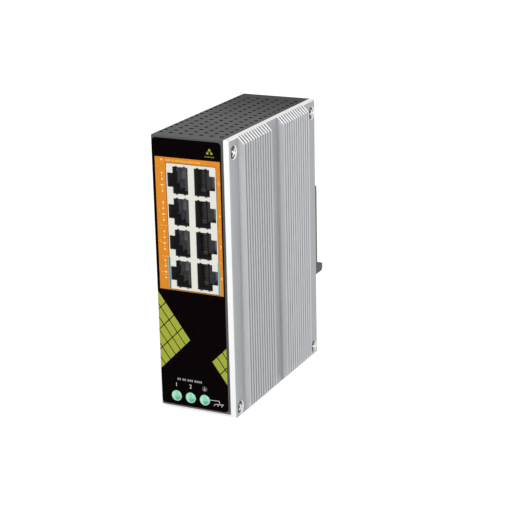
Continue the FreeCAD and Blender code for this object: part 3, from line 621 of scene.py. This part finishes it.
def prism_piece(name, prisms, finish):
    """One piece from prisms, each given by the points of its two ends."""
    shape = bmesh.new()
    for prism in prisms:
        first, second = [[shape.verts.new(point) for point in end] for end in prism]
        shape.faces.new(first)
        shape.faces.new(second[::-1])
        for side in range(len(first)):
            after = (side + 1) % len(first)
            shape.faces.new((first[side], second[side], second[after], first[after]))
    bmesh.ops.recalc_face_normals(shape, faces=shape.faces)
    return finish_piece(name, mesh_of(name, shape), finish)


print("pieces ready")

# %% [markdown]
# ## Print on the label
# The print is a few hundredths of a millimetre thick. Texture could show it, but real shapes stay sharp at
# any distance and travel with the model, so each mark is a thin slab standing on the film.

# %% Print
ink_thickness = 0.02
on_ink = (film_face - print_face) / mm


def print_marks(name, outlines, finish, proud):
    """One piece of thin raised marks from outlines of (across, down) points in millimetres."""
    prisms = [[[on_label(across, down, level) for across, down in outline]
               for level in (proud + ink_thickness, proud)] for outline in outlines]
    return prism_piece(name, prisms, finish)


print("ink stands", on_ink, "mm proud of the film")

# %% [markdown]
# ### Outlines
# A disc, a box, a stroke and a row of bars are all that the marks need. Each is a list of points in
# millimetres across and down.

# %% Outlines
bar_share = 0.7


def disc(across, down, radius, corners=20):
    """The outline of a round mark."""
    turns = [2 * math.pi * corner / corners for corner in range(corners)]
    return [(across + radius * math.cos(turn), down + radius * math.sin(turn)) for turn in turns]


def bar(left, top, right, bottom):
    """The outline of an upright box."""
    return [(left, top), (right, top), (right, bottom), (left, bottom)]


def stroke(points, width):
    """Outlines of the straight runs of a drawn line, each half a width longer at both ends."""
    outlines = []
    for start, end in zip(points, points[1:]):
        start, end = Vector(start), Vector(end)
        along = (end - start).normalized() * width / 2
        aside = Vector((along.y, -along.x))
        start, end = start - along, end + along
        outlines.append([start + aside, end + aside, end - aside, start - aside])
    return outlines


def words(start, down, tall, lengths, letter, space=0.0):
    """Plain bars in the rhythm of a line of words, whose lengths are numbers of letters."""
    outlines = []
    for letters in lengths:
        for _ in range(letters):
            outlines.append(bar(start, down - tall / 2, start + letter * bar_share, down + tall / 2))
            start += letter
        start += space
    return outlines


print("outlines ready")

# %% [markdown]
# ## Lights beside the sockets
# Four groups of small round windows run down the left of the orange field, and a single one stands above
# them. One window of each group has a tick at each side, and small dots stand between the windows. The
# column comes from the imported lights, so each window sits before its own light.

# %% Windows and ticks
lamp_left, lamp_top, lamp_right, lamp_bottom = label_box("status_lights")
light_column = (lamp_left + lamp_right) / 2
lamp_half = (lamp_right - lamp_left) / 2
light_spacing = 2.65
group_pitch = 13.03
light_radius = 0.42
light_rows = [lamp_bottom - lamp_half - group * group_pitch - place * light_spacing
              for group in range(4) for place in range(4)]
windows = [disc(light_column, down, light_radius) for down in light_rows]
windows.append(disc(light_column, lamp_top + lamp_half, light_radius))
print_marks("light_windows", windows, "cream_ink", on_ink)
ticks = []
for place, down in enumerate(light_rows):
    if place % 4 == 1:
        ticks.append(bar(light_column - 1.1, down - 0.1, light_column - light_radius, down + 0.12))
        ticks.append(bar(light_column + light_radius, down - 0.1, light_column + 0.9, down + 0.12))
    if place % 2:
        ticks.append(disc(light_column - 0.1, down + light_spacing / 2, 0.22, 8))
print_marks("light_ticks", ticks, "cream_ink", on_ink)
print("windows:", len(windows), "ticks:", len(ticks))

# %% [markdown]
# ## Rules, strips and a row of bars
# Thin pale rules part the groups of lights. Two teal strips mark the lowest pair of sockets: each runs over
# the shield's edge onto the film, so it is two pieces at two heights. A row of plain bars heads the field.

# %% Marks on the orange field
rule_half = 0.12
rule_rows = [(port_rows[row] + port_rows[row + 1]) / 2 - 0.3 for row in (1, 2)]
rules = []
for left, right in ((field_left + 1.6, shield_left - 0.1), (shield_right + 0.4, field_right - 0.2)):
    rules += [bar(left, down - rule_half, right, down + rule_half) for down in rule_rows]
print_marks("field_rules", rules, "pale_orange_ink", on_ink)
strip_top = rule_rows[1] + 0.1
strip_bottom = shield_bottom - 0.25
on_shield = (print_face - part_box("jack_shield")[0].y) / mm + on_ink
print_marks("teal_strips", [bar(shield_left - 0.75, strip_top, shield_left - 0.3, strip_bottom),
                            bar(shield_right + 0.3, strip_top, shield_right + 0.65, strip_bottom)],
            "teal_ink", on_ink)
print_marks("shield_strips", [bar(shield_left + 0.05, strip_top, shield_left + 0.4, strip_bottom),
                              bar(shield_right - 0.35, strip_top, shield_right - 0.05, strip_bottom)],
            "teal_ink", on_shield)
headline = words(shield_left - 0.2, (field_top + shield_top) / 2, 0.75, (4, 2, 3, 5, 5, 4), 0.66, 0.35)
print_marks("field_headline", headline, "pale_orange_ink", on_ink)
print("rules:", len(rules), "bars:", len(headline))

# %% [markdown]
# ## Plain numbers
# Figures are the one kind of lettering on this piece. A text curve gives well drawn figures without a
# picture, and turned into a mesh it becomes a thin raised print like the rest.

# %% Figures
figure_share = 0.7


def figures(name, entries, finish, proud):
    """One piece of raised figures: (text, across, down, height in millimetres)."""
    shape = bmesh.new()
    for text, across, down, height in entries:
        curve = bpy.data.curves.new("figure", "FONT")
        curve.body = text
        curve.size = height * mm / figure_share
        curve.align_x = "CENTER"
        curve.align_y = "CENTER"
        curve.extrude = ink_thickness * mm / 2
        flat = mesh_from_curve(curve)
        flat.transform(Matrix.Translation(on_label(across, down, proud + ink_thickness / 2))
                       @ Matrix.Rotation(math.pi / 2, 4, "X"))
        gather(shape, flat)
    return finish_piece(name, mesh_of(name, shape), finish)


right_place = (shield_right + field_right) / 2 + 0.4
left_place = (field_left + light_column) / 2 - 0.3
right_numbers = [(str(row + 5), right_place, down - 0.2, 1.25) for row, down in enumerate(port_rows)]
left_numbers = [(str(row + 1), left_place, down, 1.1) for row, down in enumerate(port_rows)]
figures("port_numbers", right_numbers, "cream_ink", on_ink)
figures("pair_numbers", left_numbers, "pale_orange_ink", on_ink)
print("numbers:", len(right_numbers) + len(left_numbers))

# %% [markdown]
# ## A pictogram above the sockets
# A small pictogram stands at the top right: three linked boxes, the usual sign for a network, over a row of
# bars in a deeper lime. Boxes and links are the same two outlines as before.

# %% Pictogram
sign_middle = shield_right - 2.65
left_box = sign_middle - 0.95
right_box = sign_middle + 0.95
first_top, first_foot, link_level, row_top, row_foot = 4.25, 5.05, 5.4, 5.75, 6.5
box_half = 0.5
link_width = 0.2
marks = [bar(place - box_half, top, place + box_half, foot)
         for place, top, foot in ((sign_middle, first_top, first_foot), (left_box, row_top, row_foot),
                                  (right_box, row_top, row_foot))]
marks += stroke([(sign_middle, first_foot), (sign_middle, link_level)], link_width)
marks += stroke([(left_box, row_top), (left_box, link_level), (right_box, link_level), (right_box, row_top)],
                link_width)
print_marks("network_pictogram", marks, "lime_ink", 0.0)
row_below = words(sign_middle - 2.35, 7.65, 0.45, (9,), 0.52)
print_marks("pictogram_line", row_below, "dim_lime_ink", 0.0)
print("pictogram:", len(marks), "outlines")

# %% [markdown]
# ## Signs at the terminals
# At the foot there are the numbers of two poles, the earth sign in its ring, and the line that leads to the
# sign for the case's own earth. These are signs that any maker uses. A row of bars stands above them.

# %% Earth signs and pole numbers
cap_left, cap_top, cap_right, cap_bottom = label_box("terminal_caps")
cap_radius = (cap_bottom - cap_top) / 2
pole_pitch = (cap_right - cap_left) / 2 - cap_radius
pole_middle = [cap_left + cap_radius + pole * pole_pitch for pole in range(3)]
pole_down = (cap_top + cap_bottom) / 2
sign_down = pole_down - 5.2
earth = pole_middle[2]
ring = disc(earth, sign_down, 1.05, 24)
signs = stroke(ring + ring[:1], 0.22) + stroke([(earth, sign_down - 0.65), (earth, sign_down)], 0.22)
for step in range(3):
    half = 0.64 - 0.2 * step
    signs += stroke([(earth - half, sign_down + 0.3 * step), (earth + half, sign_down + 0.3 * step)], 0.18)
lead_right = earth + 7.2
signs += stroke([(earth + cap_radius, pole_down - 0.4), (lead_right, pole_down - 0.6),
                 (lead_right, pole_down + 0.9)], 0.26)
signs += stroke([(lead_right - 2.3, pole_down + 1.2), (lead_right + 1.9, pole_down + 0.9)], 0.3)
for foot in (-2.1, -0.3, 1.6):
    signs += stroke([(lead_right + foot, pole_down + 1.1), (lead_right + foot - 0.6, pole_down + 2.0)], 0.26)
print_marks("earth_signs", signs, "white_ink", 0.0)
headline = words(pole_middle[0] + 0.65, pole_down - 8.1, 0.95, (2, 2, 3, 4), 0.98, 0.55)
print_marks("terminal_headline", headline, "dim_white_ink", 0.0)
pole_numbers = [(str(pole + 1), pole_middle[pole], sign_down, 1.9) for pole in range(2)]
figures("pole_numbers", pole_numbers, "white_ink", 0.0)
print("signs drawn with", len(signs), "strokes; poles at", [round(place, 2) for place in pole_middle])

# %% [markdown]
# ## Combs and carriers in the sockets
# Inside each socket a comb of ribs keeps the eight sprung contacts apart. Its ribs and posts are a lighter
# grey than the black moulding, as painted light where light reaches them. Deeper in, the contacts stand in a
# grey carrier that is pushed in from behind; its grey is partly its own and partly painted light, and thin
# grey walls along the back and the latch's side are sheets of painted light where light reaches the back of
# a socket. A black bar just before the carrier is painted shade in the groove. Nine thin ribs a socket are
# easy for a mesh and would be heavy in the model of the construction. Every part is a block, given by how
# far it begins and ends off the socket's inner wall, between which depths, and from which height to which.
# These blocks are the same in all eight: a solid bar behind a groove, and thin grey walls along the back and
# the latch's side.

# %% Parts that all sockets share
mouth_width, notch_reach, mouth_half, notch_half = 7.1, 9.7, 5.8, 3.0
comb_half, bar_front, back = 4.35, 8.05, 13.1


def slab(near, far, start, end):
    """A block seen from above: how far off the inner wall, and between which depths."""
    return [(start, near), (start, far), (end, far), (end, near)]


# Black blocks: painted shade in the groove before the carrier.
painted_shade_bars = [(slab(0.0, 1.2, 7.4, 7.9), -comb_half, comb_half),
               (slab(0.0, 1.88, 7.9, bar_front), -mouth_half, mouth_half)]
# The grey bar is the carrier, its grey partly its own and partly painted light; the thin grey walls after it
# are sheets of painted light at the back and the latch's side.
carrier_and_painted_light_walls = [(slab(0.0, 1.9, bar_front, back), -mouth_half, mouth_half),
              (slab(0.02, mouth_width, back, back + 0.1), -mouth_half, mouth_half),
              (slab(mouth_width, notch_reach, back, back + 0.1), -notch_half, notch_half),
              (slab(notch_reach - 0.06, notch_reach, 9.0, back), -notch_half, notch_half),
              (slab(mouth_width - 0.04, mouth_width, 6.5, back), -mouth_half, -notch_half),
              (slab(mouth_width - 0.04, mouth_width, 3.5, back), notch_half, mouth_half),
              (slab(mouth_width, notch_reach, 7.0, back), -notch_half, 0.05 - notch_half),
              (slab(0.02, mouth_width, 9.0, back), -mouth_half, 0.05 - mouth_half)]
post = slab(0.0, 1.9, 6.4, bar_front)
posts = [(post, -mouth_half, -comb_half), (post, comb_half, mouth_half)]
print("blocks in every socket:", len(painted_shade_bars + carrier_and_painted_light_walls + posts))

# %% [markdown]
# ### Eight sockets
# The ribs stand between the contacts, so their places come from the box that each set of contacts fills.
# The left column is turned over: its inner wall is on the right. There nine stubs stand just inside the
# mouth before a black bar that is painted shade, where the right column shows its contacts.

# %% Combs and carriers
rib_half = 0.25
contact_width = 0.45
jack_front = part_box("jack_shield")[0].y
# A black block behind the left column's stubs is painted shade.
painted_shade_behind_stubs = [(slab(0.0, 1.5, 1.5, 3.0), -comb_half, comb_half)]
combs = []
for number in range(1, 9):
    low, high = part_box(f"port_{number}_contacts")
    wall, way = (high.x, -1) if number <= 4 else (low.x, 1)
    level = (low.z + high.z) / 2 / mm
    contact_pitch = ((high.z - low.z) / mm - contact_width) / 7
    ribs = [(rib - 4) * contact_pitch for rib in range(9)]
    stubs = [(slab(0.0, 1.6, 0.6, 1.5), rib - rib_half, rib + rib_half) for rib in ribs]
    deep_ribs = [(slab(0.0, 1.9, 6.4, 7.4), rib - rib_half, rib + rib_half) for rib in ribs]
    at_mouth = number <= 4
    kinds = {"jack_plastic": painted_shade_bars + (painted_shade_behind_stubs if at_mouth else []), "carrier_grey_and_painted_light": carrier_and_painted_light_walls,
             "comb_lit_grey": posts + deep_ribs + (stubs if at_mouth else [])}
    for finish, blocks in kinds.items():
        prisms = [[[(wall + way * reach * mm, jack_front + depth * mm, (level + height) * mm)
                    for depth, reach in outline] for height in heights] for outline, *heights in blocks]
        combs.append(prism_piece(f"socket_{finish}_{number}", prisms, finish))
print("combs and carriers:", len(combs), "with", len(ribs), "ribs each")

# %% [markdown]
# ## Turned pieces
# Screw heads and terminal caps are round, so they are turned: a profile of (radius, height) points swept
# round an axis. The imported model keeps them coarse. These stand in the same places with enough sides to
# look round.

# %% A lathe
on_axis = 1e-6


def turn_profile(profile, sides=48):
    """A closed shape from a profile of (radius, height) pairs in millimetres, its axis along Z."""
    shape = bmesh.new()
    rings = []
    for radius, height in profile:
        points = disc(0.0, 0.0, radius, 1 if radius < on_axis else sides)
        rings.append([shape.verts.new((x * mm, y * mm, height * mm)) for x, y in points])
    for lower, upper in zip(rings, rings[1:]):
        for side in range(sides):
            after = (side + 1) % sides
            corners = [lower[side % len(lower)], lower[after % len(lower)],
                       upper[after % len(upper)], upper[side % len(upper)]]
            corners = [corner for place, corner in enumerate(corners) if corner not in corners[:place]]
            if len(corners) > 2:
                shape.faces.new(corners)
    bmesh.ops.recalc_face_normals(shape, faces=shape.faces)
    for face in shape.faces:
        face.smooth = True
    return shape


def placed(shape, place, way):
    """Turn a shape from pointing up to pointing along a way, and set it in its place."""
    turn = Vector((0, 0, 1)).rotation_difference(Vector(way)).to_matrix().to_4x4()
    shape.transform(Matrix.Translation(place) @ turn)
    return shape


print("lathe ready")

# %% [markdown]
# ## Green caps over the terminals
# A pale rim surrounds a low dome of mint plastic. The dome and the rim are two mouldings in look, so they
# are two pieces for each pole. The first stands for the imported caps.

# %% Terminal caps
cap_level = case_high.z - pole_down * mm
rim_width = 0.45
dome_radius = cap_radius - rim_width
rim_profile = [(dome_radius, 0.0), (dome_radius, 0.32), (dome_radius + 0.12, 0.42), (cap_radius - 0.15, 0.4),
               (cap_radius, 0.25), (cap_radius, 0.0)]
dome_steps = [step * math.pi / 16 for step in range(9)]
dome_profile = [(dome_radius, 0.0)]
dome_profile += [(dome_radius * math.cos(step), 0.12 + 0.4 * math.sin(step)) for step in dome_steps]
for pole, across in enumerate(pole_middle):
    place = Vector((case_low.x + across * mm, film_face, cap_level))
    for kind, profile, finish in (("rim", rim_profile, "cap_rim"), ("dome", dome_profile, "cap_green")):
        name = f"terminal_cap_{kind}_{pole + 1}"
        shape = placed(turn_profile(profile), place, (0, -1, 0))
        finish_piece(name, mesh_of(name, shape), finish)
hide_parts("terminal_caps")

# %% [markdown]
# ## A cross cut into a head
# The recess of a pan head screw is made by a punch, and a boolean with a tapered cross as its tool does the
# same. The faces that the boolean cuts take the tool's material number, so the recess can have a finish of
# its own; in the side screws that finish is a painted highlight.

# %% Punch and cut
def cross_punch(reach, arm, depth, top):
    """A tapered cross that points down from a height."""
    shape = bmesh.new()
    for size_x, size_y in ((reach, arm), (arm, reach)):
        for corner in bmesh.ops.create_cube(shape, size=1.0)["verts"]:
            narrow = 1.0 if corner.co.z > 0 else 0.65
            corner.co.x *= 2 * size_x * narrow * mm
            corner.co.y *= 2 * size_y * (narrow if size_y == reach else 1.0) * mm
            corner.co.z = (top + 0.3) * mm if corner.co.z > 0 else (top - depth) * mm
    for face in shape.faces:
        face.material_index = 1
    return shape


def carve(mesh, tool):
    """Cut one mesh with another and return the result."""
    body = bpy.data.objects.new("body", mesh)
    cutter = bpy.data.objects.new("cutter", tool)
    for part in (body, cutter):
        scene.collection.objects.link(part)
        for _ in range(2):
            part.data.materials.append(None)
    cut = body.modifiers.new("cut", "BOOLEAN")
    cut.operation = "DIFFERENCE"
    cut.object = cutter
    cut.solver = "EXACT"
    cut.use_self = True
    bpy.context.view_layer.update()
    result = bpy.data.meshes.new_from_object(body.evaluated_get(bpy.context.evaluated_depsgraph_get()))
    for part in (body, cutter):
        bpy.data.objects.remove(part)
    return result


print("punch ready")

# %% [markdown]
# ## Pan head screws
# A screw is turned as one piece, from the tip of its shank to the crown of its head, and then punched. Each
# group of screws is one mesh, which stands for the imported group. Their places come from that group's box
# and from the size of one head.

# %% Screws
def pan_screw(radius, height, shank, length):
    """The mesh of one screw, its seat at the origin and its head up."""
    profile = [(0.0, -length), (shank * 0.8, -length), (shank, -length + 0.4), (shank, 0.0),
               (radius * 0.97, 0.0), (radius, 0.08)]
    profile += [(radius * math.cos(step), height * (0.45 + 0.55 * math.sin(step)))
                for step in dome_steps[:-1]]
    body = mesh_of("screw", turn_profile(profile + [(0.0, height)], 40))
    return carve(body, mesh_of("punch", cross_punch(radius * 0.85, radius * 0.18, height * 0.5, height)))


def screw_group(name, node, middles, way, screw, finish, recess):
    """Screws in the places of a packed group, for which they stand."""
    group = bmesh.new()
    for place, spin in middles:
        one = bmesh.new()
        one.from_mesh(screw)
        one.transform(Matrix.Rotation(math.radians(spin), 4, "Z"))
        gather(group, mesh_of("one", placed(one, place, way)))
    piece = finish_piece(name, mesh_of(name, group), finish)
    piece.data.materials.append(finishes[recess])
    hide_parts(node)


def corner_places(name, radius, height, way, spins):
    """Where the screws of a packed group sit, from the group's box and the size of one head."""
    low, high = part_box(name)
    seat = high[way] - height * mm
    places = []
    for spin, (first, second) in zip(spins, ((0, 0), (0, 1), (1, 0), (1, 1))):
        across = (low[1 - way], high[1 - way])[first] + (1 - 2 * first) * radius * mm
        up = (low.z, high.z)[second] + (1 - 2 * second) * radius * mm
        places.append((Vector((seat, across, up)) if way == 0 else Vector((across, seat, up)), spin))
    return places


print("screws: tools ready")

# %% [markdown]
# ### Side screws in their wells
# The side screws are black. A dark ring under each head is painted shade for the well round the screw, and
# a pale ring at the well's wall is a painted highlight where the rim catches the light. Both rings are
# thin, so they are turned like the screws and set in the same places. Each screw has its own turn, because
# no one lines up the slots of screws.

# %% Side screws
side_places = corner_places("heat_sink_screws", radius=2.5, height=1.6, way=0, spins=(20, 63, 70, 5))
side_screw = pan_screw(radius=2.48, height=1.58, shank=1.45, length=3.3)
screw_group("side_screws", "heat_sink_screws", side_places, (1, 0, 0), side_screw, "dark_screw", "painted_highlight_metal")
# A dark ring under each head: painted shade for the well round the screw.
shade_ring_profile = [(2.5, 0.0), (2.5, 0.3), (3.0, 0.3), (3.0, 0.0), (2.5, 0.0)]
# A pale ring at the well's wall: painted highlight where the rim catches the light.
painted_highlight = [(2.8, 0.9), (2.8, 1.0), (3.08, 1.46), (3.08, 0.9), (2.8, 0.9)]
for name, profile, finish in (("side_washers", shade_ring_profile, "painted_shade_washer"), ("well_rims", painted_highlight, "painted_highlight_metal")):
    rings = bmesh.new()
    for place, _ in side_places:
        gather(rings, mesh_of("ring", placed(turn_profile(profile, 32), place, (1, 0, 0))))
    finish_piece(name, mesh_of(name, rings), finish)
print("side screws:", len(side_places))

# %% [markdown]
# ### Back screws
# Two bright screws, side by side, hold the clip to the case.

# %% Back screws
back_places = corner_places("clip_screws", radius=2.7, height=1.8, way=1, spins=(35, 0, 80, 0))[::2]
back_screw = pan_screw(radius=2.65, height=1.78, shank=1.45, length=6.4)
screw_group("back_screws", "clip_screws", back_places, (0, 1, 0), back_screw, "screw_steel", "screw_steel")
print("back screws at", [[round(side / mm, 1) for side in place] for place, _ in back_places])

# %% [markdown]
# ## The latch's spring
# The latch is pushed up by a small coil spring of round wire with closed ends. A curve with a round bevel
# draws the wire: it climbs slowly over the first and the last half turn and faster between them.

# %% Coil spring
spring_low, spring_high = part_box("clip_spring")
spring_middle = (spring_low + spring_high) / 2
wire_radius = 0.4 * mm
coil_radius = (spring_high.x - spring_low.x) / 2 - wire_radius
climb = spring_high.z - spring_low.z - 2 * wire_radius
spring_turns = 5.5
steps_per_turn = 24
closed_share, slow_climb = 0.09, 0.14
coil = bpy.data.curves.new("coil", "CURVE")
coil.dimensions = "3D"
coil.bevel_depth = wire_radius
coil.bevel_resolution = 4
coil.use_fill_caps = True
wire = coil.splines.new("POLY")
last_point = int(spring_turns * steps_per_turn)
wire.points.add(last_point)
for place in range(last_point + 1):
    share = place / last_point
    turn = 2 * math.pi * place / steps_per_turn
    fast_climb = min(max((share - closed_share) / (1 - 2 * closed_share), 0.0), 1.0)
    rise = fast_climb * (1 - slow_climb) + share * slow_climb
    wire.points[place].co = (spring_middle.x + coil_radius * math.cos(turn),
                             spring_middle.y + coil_radius * math.sin(turn),
                             spring_low.z + wire_radius + climb * rise, 1.0)
spring_mesh = mesh_from_curve(coil)
for face in spring_mesh.polygons:
    face.use_smooth = True
spring = finish_piece("latch_spring", spring_mesh, "spring_steel")
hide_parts("clip_spring")
print("spring", round((spring_high.z - spring_low.z) / mm, 2), "mm long")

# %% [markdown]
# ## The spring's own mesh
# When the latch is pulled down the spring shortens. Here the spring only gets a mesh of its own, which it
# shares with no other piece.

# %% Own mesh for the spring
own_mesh(spring)

# %% [markdown]
# ## The floor
# A plain pale floor lies where the switch stands. It is part of the studio and not of the switch. Where it
# is seen it gets a little light of its own, so that it fades into the white surround and still keeps the
# shadow.

# %% Floor
floor_half = 3.0
floor_finish = new_finish("pale_floor", grey(0.9), 0.9, specular=0.0)
sockets_of(floor_finish)["Emission Color"].default_value = (1.0, 1.0, 1.0, 1.0)
floor_lift = add_node(floor_finish, "ShaderNodeMapRange", To_Max=0.6)
join(floor_finish, when_seen(floor_finish), floor_lift.inputs["Value"])
join(floor_finish, floor_lift.outputs["Result"], sockets_of(floor_finish)["Emission Strength"])
floor_shape = bmesh.new()
floor_shape.faces.new([floor_shape.verts.new((x, y, model_box[0].z))
                       for x, y in bar(-floor_half, -floor_half, floor_half, floor_half)])
floor = bpy.data.objects.new("floor", mesh_of("floor", floor_shape))
floor.data.materials.append(floor_finish)
scene.collection.objects.link(floor)
print("floor at z =", round(model_box[0].z / mm, 2), "mm")
